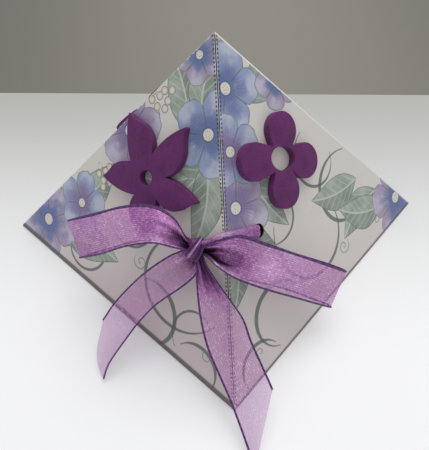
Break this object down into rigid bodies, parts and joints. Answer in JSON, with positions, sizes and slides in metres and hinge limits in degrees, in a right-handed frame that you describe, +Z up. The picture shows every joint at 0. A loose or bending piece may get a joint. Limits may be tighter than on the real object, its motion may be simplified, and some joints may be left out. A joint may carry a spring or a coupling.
{
  "type": "pyramid gift box",
  "caption": "Square pyramid gift box of folded printed card, tied shut at its open edge by an organza ribbon bow, with die-cut foam flowers on its sloping sides.",
  "frame": {"origin": "middle of the square base, on the surface that the box stands on", "axes": "+Z up; the base corners lie on the X and Y axes, with the tied front edge towards -Y and the right-hand corner on +X"},
  "size_m": [0.1484, 0.1636, 0.0745],
  "materials": {
    "printed_card": "printed card, matt to satin",
    "purple_foam": "matt closed-cell foam sheet",
    "organza": "sheer woven ribbon with a soft sheen"
  },
  "bodies": {
    "root": {"card_box": "printed_card", "star_flower": "purple_foam", "right_round_flower": "purple_foam", "back_round_flower": "purple_foam", "ribbon": "organza"}
  },
  "joints": []
}
